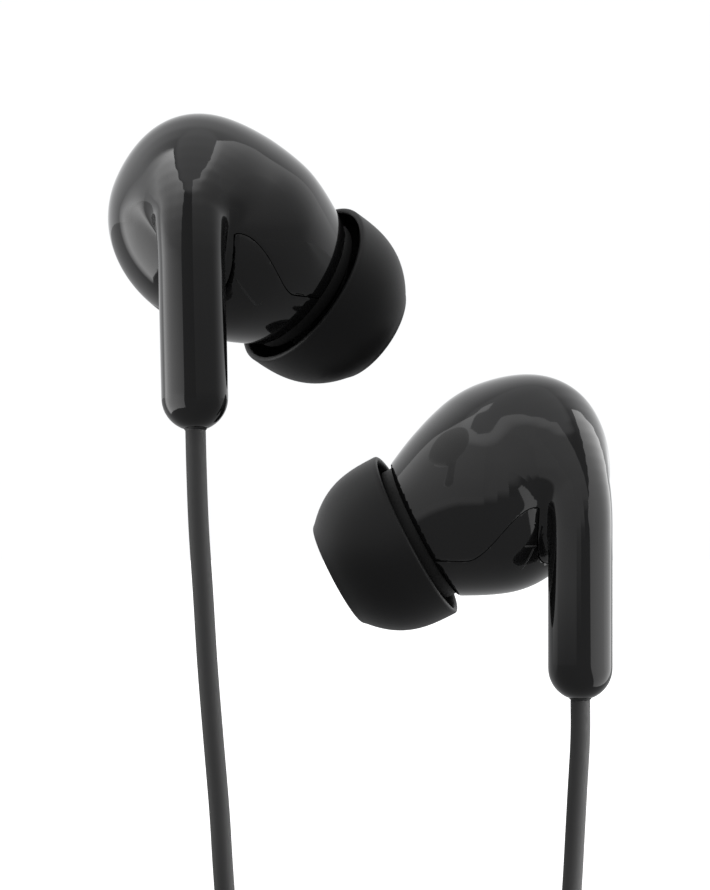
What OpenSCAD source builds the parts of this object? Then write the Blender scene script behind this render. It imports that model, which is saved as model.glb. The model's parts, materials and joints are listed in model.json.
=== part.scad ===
// Wired in-ear earphones with hanging stems, an inline remote, a Y-split and a 3.5 mm plug.
// Millimetres, +Z up. The origin is the centre of the left ear tip's mouth, where it sits in the ear canal.
// Each bud has its own frame: origin at the stem's lower end, +X towards the ear tip, +Y inwards, +Z up the stem.

/* [Stem] */
// Radius of the round stem
stem_r = 2.28; // [2:0.02:2.6]
// Height at which the stem starts to bend into the body
stem_h = 15; // [13:0.5:16]
// Radius of the cable channel inside the stem
channel_r = 1.35; // [1.2:0.05:1.5]

/* [Body] */
// Radius of the lower body lobe
lobe_r = 6.6; // [6.2:0.1:7]
// Radius of the upper body lobe
crown_r = 6.85; // [6.2:0.05:7]
// Wall thickness of the shells
wall = 0.9; // [0.7:0.1:1.1]
// Height of the parting line between the shell and the belly cover
seam_z = 9.7; // [9:0.1:10.5]

/* [Nozzle and ear tip] */
// Radius of the body where the nozzle collar starts
collar_r = 5.15; // [4.8:0.05:5.4]
// Outer radius of the nozzle tube
nozzle_r = 2.7; // [2.4:0.05:2.9]
// Radius of the barb that holds the ear tip
barb_r = 2.95; // [2.8:0.05:3.1]
// Radius of the ear tip at its rim
tip_r = 6.3; // [5:0.1:6.4]
// Length of the ear tip from its rim to its mouth
tip_l = 6.45; // [5:0.05:6.6]

/* [Cable] */
// Outer diameter of the cable
cord_d = 1.4; // [1.2:0.1:1.4]
// Length of the straight runs of the hank
run_l = 28; // [24:1:28]

/* [Remote] */
// Length of the remote's body
remote_l = 27; // [25:1:27]
// Width of the remote's body
remote_w = 5.2; // [5:0.1:5.6]
// Depth of the remote's body
remote_t = 4.2; // [4:0.1:4.2]
// Travel of each button
press = 0.3; // [0.2:0.05:0.4]

/* [Plug] */
// Radius of the plug's contacts
pin_r = 1.75; // [1.75:0.01:1.75]
// Radius of the plug's grip
grip_r = 2.7; // [2.5:0.1:3.2]
// Length of the plug's grip
grip_l = 14; // [12:1:16]

/* [Hidden] */
$fn = 64;
hull_fn = 32;
eps = 0.01;

// Points of the bud, in the bud's own frame
lobe = [6.15, 5.4, 14.4];
crown = [4.5, 6.5, 16.05];
shoulder = [2.7, 4.55, 18.85];
shoulder_r = 3.45;
collar = [10.9, 5.65, 11.95];
dip = 27.4;
toe = 7;
rim_gap = 0.7;
seat_r = 3.2;
mouth_s = rim_gap + tip_l;

// Places of the two buds: the stem's lower end, then turn about Z, lean about X and roll about Y
left_at = [-11.83, -14.9, -7.08];
left_turn = [28.6, -7.6, -1.6];
right_at = [14.88, -0.92, -26.05];
right_turn = [0.7, 0, 0];

// Hank, remote, split and plug
hank_at = [2, -10, -72.3];
pitch = cord_d + 0.05;
inner_r = 3 * cord_d;
columns = 3;
layers = 5;
outer_r = inner_r + (columns - 1) * pitch;
hank_t = (layers - 1) * pitch + cord_d;
front_y = hank_at[1] - 2 * pitch;
tie_z = -67;
tie_w = 7;
tie_t = 0.8;
remote_at = [hank_at[0] + inner_r + pitch, front_y - 3.9, hank_at[2]];
button_pitch = 7.4;
button_w = 3;
button_l = 4.6;
split_l = 13;
plug_at = [2, -10, -102.5];
relief_l = 8;

// The stretches of cable that aren't in the hank
left_route = [[-11.83, -14.9, -7.1], [-11.76, -15.23, -9.56], [-11.6, -15.5, -13.6], [-11.3, -15.6, -18.1],
  [-11, -15.6, -23], [-10.6, -15.5, -28], [-10.2, -15.2, -32.9], [-9.9, -14.8, -37.8], [-9.4, -13.6, -43.6],
  [-8, -11.4, -49.5], [-6.2, -8.9, -54.5], [-5.2, -7.4, -58.5]];
right_route = [[14.88, -0.92, -26.07], [14.88, -0.92, -28.7], [14.68, -1, -32.2], [14.48, -1.2, -35.7],
  [14.25, -1.9, -39.2], [13.85, -3.4, -43], [12.9, -6, -47], [11.2, -9.3, -51.5], [9.6, -11.8, -55.5],
  [9.1, -12.8, -58.5]];
remote_top_route = [[1.8, -14.4, -51.9], [4.2, -15.3, -52.6], [6.3, -16.2, -54.3], [7.4, -16.7, -56.5],
  [7.65, -16.8, -58.78]];
remote_end_route = [[7.65, -16.8, -85.82], [7.4, -16.6, -88.2], [6.2, -15.9, -90.4], [4.2, -15, -91.8],
  [2, -14.2, -92.2]];
left_split_route = [[6.2, -7.1, -62.5], [5.9, -7.5, -60.5], [5.1, -8.4, -59.3], [4.1, -9.3, -59.6],
  [3.3, -9.9, -61.6], [3.1, -10, -63.8], [3.1, -10, -65.78]];
right_split_route = [[-2.2, -12.9, -62.5], [-1.9, -12.5, -60.5], [-1.1, -11.6, -59.3], [-0.1, -10.7, -59.6],
  [0.7, -10.1, -61.6], [0.9, -10, -63.8], [0.9, -10, -65.78]];
main_split_route = [[2, -10, -78.82], [2, -10, -79.8], [2.3, -10.3, -81.6], [3.6, -10.9, -83.8], [5.4, -11.4, -85.6]];
main_route = [[9.1, -8.6, -86.5], [8.7, -8.7, -90], [7, -9.1, -94], [4, -9.7, -97.8], [2.3, -10, -100.5],
  [2, -10, -102.5]];

// Catmull-Rom curve through points, n steps to a span
function spline(p, n) = [for (i = [0 : len(p) - 2], k = [0 : n - 1])
  let (a = p[max(i - 1, 0)], b = p[i], c = p[i + 1], d = p[min(i + 2, len(p) - 1)], t = k / n)
  0.5 * (2 * b + (c - a) * t + (2 * a - 5 * b + 4 * c - d) * t * t + (3 * b - a - 3 * c + d) * t * t * t),
  p[len(p) - 1]];

// Round tube swept along a route, closed at both ends
module tube(route, d = cord_d, steps = 2, sides = 8) {
  p = spline(route, steps);
  n = len(p);
  side = [1, 0.3, 0];
  rings = [for (i = [0 : n - 1])
    let (t = p[min(i + 1, n - 1)] - p[max(i - 1, 0)], w = t / norm(t),
         u0 = cross(w, cross(side, w)), u = u0 / norm(u0), v = cross(w, u))
    for (k = [0 : sides - 1]) p[i] + d / 2 * (cos(360 * k / sides) * u + sin(360 * k / sides) * v)];
  faces = [
    [for (k = [0 : sides - 1]) k],
    [for (k = [sides - 1 : -1 : 0]) (n - 1) * sides + k],
    for (i = [0 : n - 2], k = [0 : sides - 1])
      let (a = i * sides + k, b = i * sides + (k + 1) % sides) [a, a + sides, b + sides, b]];
  polyhedron(rings, faces, convexity = 4);
}

module place(turn) {
  rotate([0, turn[2], 0]) rotate([turn[1], 0, 0]) rotate([0, 0, turn[0]]) children();
}
module left_bud() { translate(left_at) place(left_turn) children(); }
module right_bud() { translate(right_at) mirror([1, 0, 0]) place(right_turn) children(); }

// Puts children on the nozzle's axis, +Z out of the ear tip's mouth, 0 at the end of the glossy body
module on_nozzle() { translate(collar) rotate([0, 0, toe]) rotate([0, 90 + dip, 0]) children(); }

// ---- Bud pieces, each in the bud's own frame ----

// Egg-shaped body, shrunk by t
module body_form(t = 0) {
  hull() {
    translate(lobe) sphere(lobe_r - t, $fn = hull_fn);
    translate(crown) sphere(crown_r - t, $fn = hull_fn);
    on_nozzle() translate([0, 0, -0.5 - t]) cylinder(0.5, r = collar_r - t, $fn = hull_fn);
  }
}

// Stem that bends into the crown, shrunk by t
module stem_form(t = 0) {
  r = stem_r - t;
  steps = 4;
  hull() {
    translate([0, 0, stem_r]) sphere(r, $fn = hull_fn);
    translate([0, 0, stem_h]) sphere(r, $fn = hull_fn);
  }
  for (i = [0 : steps - 1]) hull() for (f = [i / steps, (i + 1) / steps])
    translate([0, 0, stem_h] + (shoulder - [0, 0, stem_h]) * f) sphere(r + (shoulder_r - stem_r) * f, $fn = hull_fn);
  hull() {
    translate(shoulder) sphere(shoulder_r - t, $fn = hull_fn);
    translate(crown) sphere(shoulder_r + 1.5 - t, $fn = hull_fn);
  }
}

// Flat end of the body, with the hole that the nozzle's spigot drops into
module nozzle_seat() {
  on_nozzle() {
    translate([0, 0, -2]) cylinder(3, r = seat_r);
    cylinder(3, r = collar_r + 2);
  }
}

module below_seam(gap = 0) {
  translate([lobe[0] - 15, lobe[1] - 15, seam_z - 20 - gap]) cube([30, 30, 20]);
}

module shell_of() {
  color("#1a1a1b") difference() {
    union() {
      difference() { body_form(); below_seam(); }
      stem_form();
    }
    body_form(wall);
    translate([0, 0, 2]) cylinder(stem_h, r = channel_r);
    hull() {
      translate([0, 0, stem_h]) sphere(channel_r, $fn = hull_fn);
      translate(crown) sphere(channel_r, $fn = hull_fn);
    }
    translate([0, 0, -eps]) cylinder(3, r = 1.15);
    nozzle_seat();
  }
}

module belly_cover_of() {
  color("#1a1a1b") difference() {
    intersection() { body_form(); below_seam(0.05); }
    body_form(wall);
    stem_form(-0.05);
    nozzle_seat();
  }
}

// Spigot, collar, tube and barb, turned in one piece
module nozzle_of() {
  color("#101010") on_nozzle() rotate_extrude() polygon([
    [2.1, -0.85], [seat_r - 0.05, -0.85], [seat_r - 0.05, 0.02], [collar_r - 0.12, 0.02], [collar_r - 0.12, 0.85],
    [collar_r - 0.35, 1.05], [3.3, 1.05], [nozzle_r, 1.5], [nozzle_r, 5.3], [barb_r, 5.5], [barb_r, 6.1],
    [nozzle_r - 0.15, 6.5], [2.1, 6.5]]);
}

// Round mesh disc with a ring of sound holes
module nozzle_grille_of() {
  color("#2a2a2c") on_nozzle() difference() {
    translate([0, 0, 5.9]) cylinder(0.25, r = 2.08);
    for (ring = [1, 2], a = [0 : 60 / ring : 359])
      rotate([0, 0, a]) translate([ring * 0.72, 0, 5.8]) cylinder(0.5, r = 0.2, $fn = 16);
  }
}

// Silicone tip: sleeve on the barb and a thin dome folded back over it
module ear_tip_of() {
  sleeve_in = barb_r + 0.04;
  sleeve_out = 3.75;
  skin = 0.5;
  bend = 12;
  front_r = 4.15;
  dome = [for (i = [0 : bend]) let (t = i / bend)
    [tip_r - (tip_r - front_r) * pow(t, 3), rim_gap + (tip_l - 0.35) * t]];
  under = [for (i = [bend - 2 : -1 : 0]) let (t = i / bend)
    [tip_r - skin - (tip_r - front_r) * pow(t, 3), rim_gap + 0.02 + (tip_l - 0.35) * t]];
  color("#262627") on_nozzle() rotate_extrude() polygon(concat(
    [[sleeve_in, 1.6], [sleeve_in, 6.55], [2.2, 6.75], [2.1, mouth_s - 0.15], [2.3, mouth_s], [3.7, mouth_s]],
    [for (i = [bend : -1 : 0]) dome[i]],
    [for (i = [len(under) - 1 : -1 : 0]) under[i]],
    [[sleeve_out, 5.2], [sleeve_out, 1.6]]));
}

driver_s = -2.6;
driver_r = 4.2;

module driver_frame_of() {
  color("#3a3a3c") on_nozzle() translate([0, 0, driver_s]) rotate_extrude() polygon([
    [3.1, -2.2], [driver_r - 0.6, -2.2], [driver_r - 0.6, -0.6], [driver_r, -0.4], [driver_r, 1],
    [driver_r - 0.4, 1], [driver_r - 0.4, 0], [3.1, -1.2]]);
}
module driver_yoke_of() {
  color("#8a8c90") on_nozzle() translate([0, 0, driver_s]) rotate_extrude() polygon([
    [0, -2.8], [3.05, -2.8], [3.05, -0.9], [2.75, -0.9], [2.75, -2.4], [0, -2.4]]);
}
module driver_magnet_of() {
  color("#55585c") on_nozzle() translate([0, 0, driver_s - 2.39]) cylinder(1.4, r = 2.25);
}
module voice_coil_of() {
  color("#b06a38") on_nozzle() translate([0, 0, driver_s - 1.6]) difference() {
    cylinder(1.75, r = 2.62);
    translate([0, 0, -eps]) cylinder(2, r = 2.42);
  }
}
module diaphragm_of() {
  color("#c9b27a") on_nozzle() translate([0, 0, driver_s + 0.16]) rotate_extrude() polygon([
    [0, 0.55], [1.3, 0.4], [2.6, 0], [3, 0.25], [3.4, 0.2], [3.75, 0], [3.75, 0.06], [3.4, 0.27], [3, 0.32],
    [2.6, 0.08], [1.3, 0.47], [0, 0.62]]);
}
module terminal_board_of() {
  color("#1f6b3a") on_nozzle() translate([-2.2, -1.6, driver_s - 3.5]) cube([4.4, 3.2, 0.6]);
}

// Soft ring pressed into the stem's lower end, round the cable
module cord_grommet_of() {
  color("#202021") difference() {
    union() {
      translate([0, 0, 0.02]) cylinder(3, r = 1.13);
      translate([0, 0, 3.02]) cylinder(0.6, r = 1.3);
    }
    translate([0, 0, -1]) cylinder(6, r = cord_d / 2 + 0.02);
  }
}
// The cable's end with the crimp that stops it pulling out
module cord_anchor_of() {
  color("#3a3a3c") {
    cylinder(3.65, r = cord_d / 2);
    translate([0, 0, 3.64]) cylinder(1.4, r = 1.15);
  }
}
module inner_wires_of() {
  solder = collar + (driver_s - 3.8) * [cos(dip) * cos(toe), cos(dip) * sin(toe), -sin(dip)];
  for (s = [-0.35, 0.35])
    color(s < 0 ? "#a03024" : "#b87333")
      tube([[0, s, 5.06], [0, s, 9], [0.05, s, 12.5], [0.5, s + 0.6, 14.9], [1.8, s + 2.4, 15.6],
        [3.6, s + 4.1, 15.5], solder + [0, s, 0]], 0.3, 3, 6);
}

// ---- Cable, tie and split ----

module racetrack(r) {
  translate([-r, -run_l / 2]) square([2 * r, run_l]);
  for (s = [-1, 1]) translate([0, s * run_l / 2]) circle(r);
}
module cord_hank() {
  color("#343436") translate(hank_at) rotate([90, 0, 0]) linear_extrude(hank_t, center = true) difference() {
    racetrack(outer_r + cord_d / 2);
    racetrack(inner_r - cord_d / 2);
  }
}
module left_lead() { color("#343436") { tube(left_route); tube(left_split_route); } }
module right_lead() {
  color("#343436") {
    tube(right_route);
    tube(remote_top_route);
    tube(remote_end_route);
    tube(right_split_route);
  }
}
module main_lead() { color("#343436") { tube(main_route); tube(main_split_route); } }

// Strap round the hank's waist, with the button that closes it
module hank_tie() {
  w = outer_r + cord_d / 2 + 0.05;
  h = hank_t / 2 + 0.05;
  corner = 2.2;
  module round_box(g) {
    translate([-w - g, -h - g + corner]) square([2 * (w + g), 2 * (h + g - corner)]);
    translate([-w - g + corner, -h - g]) square([2 * (w + g - corner), 2 * (h + g)]);
    for (x = [-1, 1], y = [-1, 1]) translate([x * (w + g - corner), y * (h + g - corner)]) circle(corner);
  }
  color("#242425") translate([hank_at[0], hank_at[1], tie_z - tie_w / 2]) {
    linear_extrude(tie_w) difference() {
      round_box(tie_t);
      translate([-w, -h]) square([2 * w, 2 * h]);
    }
    translate([-w + 3.4, -h - tie_t + 0.1, tie_w / 2]) rotate([90, 0, 0]) cylinder(0.7, r = 2);
  }
}

module y_split() {
  color("#202021") translate(hank_at) {
    hull() for (x = [-1, 1]) translate([x * 0.9, 0, -split_l / 2 + 4.5]) cylinder(split_l - 4.5, r = 1.75);
    hull() {
      for (x = [-1, 1]) translate([x * 0.9, 0, -split_l / 2 + 4.5]) cylinder(eps, r = 1.75);
      translate([0, 0, -split_l / 2]) cylinder(eps, r = 1.15);
    }
  }
}

// ---- Remote, in its own frame: +Z up the cable, -Y the face with the buttons ----

module on_remote() { translate(remote_at) children(); }
module remote_plan(t = 0) {
  flat = remote_w - remote_t;
  translate([-flat / 2, -remote_t / 2 + t]) square([flat, remote_t - 2 * t]);
  for (s = [-1, 1]) translate([s * flat / 2, 0]) circle(remote_t / 2 - t);
}
module remote_form() {
  difference() {
    translate([0, 0, -remote_l / 2]) linear_extrude(remote_l) remote_plan();
    translate([0, 0, -remote_l / 2 + 1]) linear_extrude(remote_l - 2) remote_plan(0.7);
    translate([0, 0, -remote_l]) cylinder(2 * remote_l, r = cord_d / 2 - 0.1);
  }
}
module remote_front_shell() {
  color("#1a1a1b") on_remote() difference() {
    intersection() {
      remote_form();
      translate([-5, -5, -remote_l]) cube([10, 5, 2 * remote_l]);
    }
    for (i = [-1 : 1]) translate([-button_w / 2 - 0.05, -5, i * button_pitch - button_l / 2 - 0.05])
      cube([button_w + 0.1, 4, button_l + 0.1]);
    translate([0, 0, -button_pitch * 1.5]) rotate([90, 0, 0]) cylinder(5, r = 0.35);
  }
}
module remote_back_shell() {
  color("#1a1a1b") on_remote() intersection() {
    remote_form();
    translate([-5, 0.02, -remote_l]) cube([10, 5, 2 * remote_l]);
  }
}
module remote_board() {
  color("#1f6b3a") on_remote() translate([-1.7, 0.1, -remote_l / 2 + 1.8]) cube([3.4, 0.6, remote_l - 3.6]);
}
module remote_switches() {
  color("#b8babd") on_remote() for (i = [-1 : 1]) {
    translate([-1.1, -0.28, i * button_pitch - 1.3]) cube([2.2, 0.36, 2.6]);
    translate([0, -0.27, i * button_pitch]) rotate([90, 0, 0]) cylinder(0.2, r = 0.5);
  }
}
module remote_microphone() {
  color("#c8b060") on_remote() translate([0, 0.08, -button_pitch * 1.5]) rotate([90, 0, 0]) cylinder(0.9, r = 0.75);
}
// Cap with a foot that keeps it in and a stem that meets its switch
module button_at(i) {
  foot_l = button_l + 1;
  proud = press + 0.2;
  color("#242425") on_remote() translate([0, 0, i * button_pitch]) {
    translate([-button_w / 2, -remote_t / 2 - proud, -button_l / 2]) cube([button_w, 0.8 + proud, button_l]);
    translate([-0.5, -remote_t / 2 + 0.73, -foot_l / 2]) cube([1, 0.27, foot_l]);
    translate([-0.5, -remote_t / 2 + 0.7, -0.5]) cube([1, 0.58, 1]);
  }
}
module volume_up_button() { button_at(1); }
module play_button() { button_at(0); }
module volume_down_button() { button_at(-1); }

// ---- Plug, in its own frame: 0 at the cable's end, contacts pointing down ----

grip_z = -relief_l - grip_l;
sleeve_l = 5.1;
ring_l = 1.9;
gap_l = 0.5;
module on_plug() { translate(plug_at) children(); }
module band(z, l, r = pin_r) { translate([0, 0, grip_z - z - l]) cylinder(l, r = r); }
module plug_strain_relief() {
  color("#202021") on_plug() rotate_extrude() polygon([
    [cord_d / 2 + 0.02, -relief_l + 0.01], [cord_d / 2 + 0.02, 0], [1.1, 0], [1.25, -0.6], [1.7, -relief_l + 1],
    [1.7, -relief_l + 0.01]]);
}
module plug_grip() {
  color("#1a1a1b") on_plug() rotate_extrude() polygon([
    [0, grip_z], [grip_r - 0.4, grip_z], [grip_r, grip_z + 0.5], [grip_r, -relief_l - 1],
    [grip_r - 0.6, -relief_l], [0, -relief_l]]);
}
module plug_sleeve() { color("#c9b27a") on_plug() band(0, sleeve_l); }
module plug_rings() {
  color("#c9b27a") on_plug() for (i = [0, 1]) band(sleeve_l + gap_l + i * (ring_l + gap_l), ring_l);
}
module plug_insulators() {
  color("#101010") on_plug() for (i = [0 : 2]) band(sleeve_l + i * (ring_l + gap_l), gap_l);
}
module plug_tip() {
  z0 = grip_z - sleeve_l - 2 * ring_l - 3 * gap_l;
  color("#c9b27a") on_plug() rotate_extrude() polygon([
    [0, z0], [pin_r, z0], [pin_r, z0 - 0.6], [1.2, z0 - 1.5], [1.75, z0 - 2.3], [1.5, z0 - 2.8], [0.4, z0 - 3.6],
    [0, z0 - 3.6]]);
}

left_bud() shell_of();  // left_shell
left_bud() belly_cover_of();  // left_belly_cover
left_bud() nozzle_of();  // left_nozzle
left_bud() nozzle_grille_of();  // left_nozzle_grille
left_bud() ear_tip_of();  // left_ear_tip
left_bud() driver_frame_of();  // left_driver_frame
left_bud() driver_yoke_of();  // left_driver_yoke
left_bud() driver_magnet_of();  // left_driver_magnet
left_bud() voice_coil_of();  // left_voice_coil
left_bud() diaphragm_of();  // left_diaphragm
left_bud() terminal_board_of();  // left_terminal_board
left_bud() cord_grommet_of();  // left_cord_grommet
left_bud() cord_anchor_of();  // left_cord_anchor
left_bud() inner_wires_of();  // left_inner_wires
right_bud() shell_of();  // right_shell
right_bud() belly_cover_of();  // right_belly_cover
right_bud() nozzle_of();  // right_nozzle
right_bud() nozzle_grille_of();  // right_nozzle_grille
right_bud() ear_tip_of();  // right_ear_tip
right_bud() driver_frame_of();  // right_driver_frame
right_bud() driver_yoke_of();  // right_driver_yoke
right_bud() driver_magnet_of();  // right_driver_magnet
right_bud() voice_coil_of();  // right_voice_coil
right_bud() diaphragm_of();  // right_diaphragm
right_bud() terminal_board_of();  // right_terminal_board
right_bud() cord_grommet_of();  // right_cord_grommet
right_bud() cord_anchor_of();  // right_cord_anchor
right_bud() inner_wires_of();  // right_inner_wires
left_lead();
right_lead();
main_lead();
cord_hank();
hank_tie();
y_split();
remote_front_shell();
remote_back_shell();
remote_board();
remote_switches();
remote_microphone();
volume_up_button();
play_button();
volume_down_button();
plug_grip();
plug_strain_relief();
plug_sleeve();
plug_rings();
plug_tip();
plug_insulators();
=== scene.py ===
"""Wired in-ear earphones: the looks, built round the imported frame. Shapes are in millimetres until a mesh is made."""
import json
import logging
import math
from collections.abc import Callable, Sequence
from dataclasses import dataclass, field
from enum import Enum

import bmesh
import bpy
import numpy as np
from mathutils import Matrix

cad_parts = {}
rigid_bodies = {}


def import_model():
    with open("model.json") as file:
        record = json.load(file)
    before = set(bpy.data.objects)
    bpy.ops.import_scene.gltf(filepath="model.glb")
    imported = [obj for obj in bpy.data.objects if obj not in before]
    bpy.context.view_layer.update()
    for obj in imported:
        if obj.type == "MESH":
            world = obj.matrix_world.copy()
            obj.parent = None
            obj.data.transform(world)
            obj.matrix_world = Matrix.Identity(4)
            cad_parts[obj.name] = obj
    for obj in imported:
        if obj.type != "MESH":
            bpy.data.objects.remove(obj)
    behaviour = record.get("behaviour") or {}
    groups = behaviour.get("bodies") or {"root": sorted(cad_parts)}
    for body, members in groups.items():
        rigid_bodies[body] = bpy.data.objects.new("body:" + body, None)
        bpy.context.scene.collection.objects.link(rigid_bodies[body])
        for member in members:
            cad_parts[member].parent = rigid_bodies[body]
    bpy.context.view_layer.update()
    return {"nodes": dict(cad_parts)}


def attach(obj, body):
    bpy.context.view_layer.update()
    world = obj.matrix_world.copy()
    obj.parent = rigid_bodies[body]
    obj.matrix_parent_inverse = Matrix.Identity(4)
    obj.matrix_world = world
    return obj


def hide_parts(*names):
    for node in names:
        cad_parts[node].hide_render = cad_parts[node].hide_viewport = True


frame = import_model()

MM = 0.001
WAVE_BANDS = 6.3         # bands that the wave texture draws on each unit
LOG = logging.getLogger("earphones")
Point = tuple[float, float, float]
Mesh = tuple[np.ndarray, list]


# ---------------------------------------------------------------- node and scene tools


def added(tree: bpy.types.NodeTree, kind: str, inputs: dict, **settings: str) -> bpy.types.Node:
    """Adds a node and feeds its inputs.

    Args:
        tree: The node tree.
        kind: Kind of node, without its ShaderNode prefix.
        inputs: For each input, the socket that it is linked from, or its value.
        **settings: The node's own settings.

    Returns:
        The new node.
    """
    made = tree.nodes.new(f"ShaderNode{kind}")
    for name, value in settings.items():
        setattr(made, name, value)
    feed(tree, made, inputs)
    return made


def feed(tree: bpy.types.NodeTree, made: bpy.types.Node, inputs: dict) -> None:
    """Links or sets a node's inputs.

    Args:
        tree: The node tree.
        made: The node.
        inputs: For each input, the socket that it is linked from, or its value.
    """
    for name, value in inputs.items():
        if isinstance(value, bpy.types.NodeSocket):
            tree.links.new(value, made.inputs[name])
        else:
            made.inputs[name].default_value = value


def placed(name: str, data: bpy.types.ID | None) -> bpy.types.Object:
    """Makes an object in the scene.

    Args:
        name: Name of the object.
        data: Its mesh, light or camera.

    Returns:
        The new object.
    """
    made = bpy.data.objects.new(name, data)
    bpy.context.scene.collection.objects.link(made)
    return made


def gathered(name: str, pieces: Sequence[bpy.types.Object]) -> bpy.types.Collection:
    """Puts pieces in a collection of their own as well.

    Args:
        name: Name of the collection.
        pieces: The pieces.

    Returns:
        The new collection.
    """
    group = bpy.data.collections.new(name)
    bpy.context.scene.collection.children.link(group)
    for piece in pieces:
        group.objects.link(piece)
    return group


# ---------------------------------------------------------------- mesh tools


def add_piece(name: str, mesh: Mesh, body: str, finish: "Finish", nodes: Sequence[str] = (),
              smooth: float = 40.0) -> bpy.types.Object:
    """Makes an object from points in millimetres and hangs it on a body.

    Args:
        name: Name of the piece.
        mesh: Points and faces, in the row frame, in millimetres.
        body: The body that it rides on.
        finish: The finish that dresses it.
        nodes: The CAD nodes that it stands for.
        smooth: Edges sharper than this many degrees stay crisp.

    Returns:
        The new object.
    """
    points, faces = mesh
    data = bpy.data.meshes.new(name)
    data.from_pydata((np.asarray(points) * MM).tolist(), [], faces)
    data.validate()
    work = bmesh.new()
    work.from_mesh(data)
    bmesh.ops.recalc_face_normals(work, faces=work.faces)
    limit = math.radians(smooth)
    for edge in work.edges:
        edge.smooth = len(edge.link_faces) == 2 and edge.calc_face_angle(0.0) < limit
    for face in work.faces:
        face.smooth = True
    work.to_mesh(data)
    work.free()
    data.materials.append(finish.material())
    return settle(placed(name, data), body, nodes)


def settle(piece: bpy.types.Object, body: str, nodes: Sequence[str] = ()) -> bpy.types.Object:
    """Hangs a finished object on its body and reports it.

    Args:
        piece: The object.
        body: The body that it rides on.
        nodes: The CAD nodes that it stands for.

    Returns:
        The same object.
    """
    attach(piece, body)
    if nodes:
        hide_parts(*nodes)
    LOG.info("%s rides on %s, %d faces", piece.name, body, len(piece.data.polygons))
    return piece


def rounded(corners: Sequence[tuple[float, float, float]], steps: int = 5) -> list[tuple[float, float]]:
    """Fillets an open outline.

    Args:
        corners: (radius, height, fillet) of each corner, in order; a fillet of 0 keeps the corner.
        steps: Points on each fillet, less one.

    Returns:
        The outline's points.
    """
    out: list[tuple[float, float]] = []
    for i, (r, z, fillet) in enumerate(corners):
        if fillet <= 0 or i in (0, len(corners) - 1):
            out.append((r, z))
            continue
        here = np.array([r, z])
        before, after = np.array(corners[i - 1][:2]) - here, np.array(corners[i + 1][:2]) - here
        reach_b, reach_a = np.linalg.norm(before), np.linalg.norm(after)
        before, after = before / reach_b, after / reach_a
        half = 0.5 * math.acos(float(np.clip(before @ after, -1, 1)))
        cut = min(fillet / math.tan(half), 0.49 * reach_b, 0.49 * reach_a)
        start, end = here + before * cut, here + after * cut
        for k in range(steps + 1):
            t = k / steps
            p = (1 - t) ** 2 * start + 2 * t * (1 - t) * here + t * t * end
            out.append((float(p[0]), float(p[1])))
    return out


def lathe(outline: Sequence[tuple[float, float]], sides: int = 96) -> Mesh:
    """Turns an outline about +Z. Ends on the axis close to a point, and a closed outline makes a ring.

    Args:
        outline: (radius, height) points; the first isn't repeated at the end.
        sides: Steps round the axis.

    Returns:
        Points and faces.
    """
    closed = outline[0][0] > 1e-6 and outline[-1][0] > 1e-6
    angle = np.linspace(0, 2 * math.pi, sides, endpoint=False)
    points: list = []
    rows: list = []
    for r, z in outline:
        if r < 1e-6:
            rows.append([len(points)])
            points.append((0.0, 0.0, z))
        else:
            rows.append(list(range(len(points), len(points) + sides)))
            points.extend(zip(r * np.cos(angle), r * np.sin(angle), np.full(sides, z)))
    faces: list = []
    pairs = list(zip(rows[:-1], rows[1:])) + ([(rows[-1], rows[0])] if closed else [])
    for low, high in pairs:
        for k in range(sides):
            n = (k + 1) % sides
            ring = [low[k % len(low)], low[n % len(low)], high[n % len(high)], high[k % len(high)]]
            faces.append(list(dict.fromkeys(ring)))
    return np.array(points), faces


def loft(sections: Sequence[np.ndarray]) -> Mesh:
    """Skins closed rings of equal length and caps both ends.

    Args:
        sections: Rings of points, each (n, 3).

    Returns:
        Points and faces.
    """
    n = len(sections[0])
    faces = [[i * n + k, i * n + (k + 1) % n, (i + 1) * n + (k + 1) % n, (i + 1) * n + k]
             for i in range(len(sections) - 1) for k in range(n)]
    faces.append(list(range(n)))
    faces.append([(len(sections) - 1) * n + k for k in range(n)])
    return np.concatenate(sections), faces


def joined(*meshes: Mesh) -> Mesh:
    """Puts several meshes into one.

    Args:
        *meshes: The meshes.

    Returns:
        One mesh with all their points and faces.
    """
    points, faces, start = [], [], 0
    for p, f in meshes:
        points.append(np.asarray(p))
        faces.extend([[i + start for i in face] for face in f])
        start += len(p)
    return np.concatenate(points), faces


def curve_through(points: Sequence[Point], step: float = 0.5) -> np.ndarray:
    """Smooth curve through points, evenly spaced.

    Args:
        points: Points of the route, in millimetres.
        step: Distance between the returned points.

    Returns:
        The curve's points, (n, 3).
    """
    p = np.asarray(points, float)
    p = np.vstack([2 * p[0] - p[1], p, 2 * p[-1] - p[-2]])
    t = np.linspace(0, 1, 24, endpoint=False)[:, None]
    parts = []
    for a, b, c, d in zip(p[:-3], p[1:-2], p[2:-1], p[3:]):
        parts.append(0.5 * (2 * b + (c - a) * t + (2 * a - 5 * b + 4 * c - d) * t ** 2
                            + (3 * b - a - 3 * c + d) * t ** 3))
    dense = np.vstack([*parts, p[-2:-1]])
    run = np.r_[0, np.cumsum(np.linalg.norm(np.diff(dense, axis=0), axis=1))]
    marks = np.linspace(0, run[-1], max(4, int(run[-1] / step)))
    even = np.stack([np.interp(marks, run, dense[:, i]) for i in range(3)], -1)
    for _ in range(3):
        even[1:-1] += 0.5 * (0.5 * (even[:-2] + even[2:]) - even[1:-1])
    return even


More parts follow.
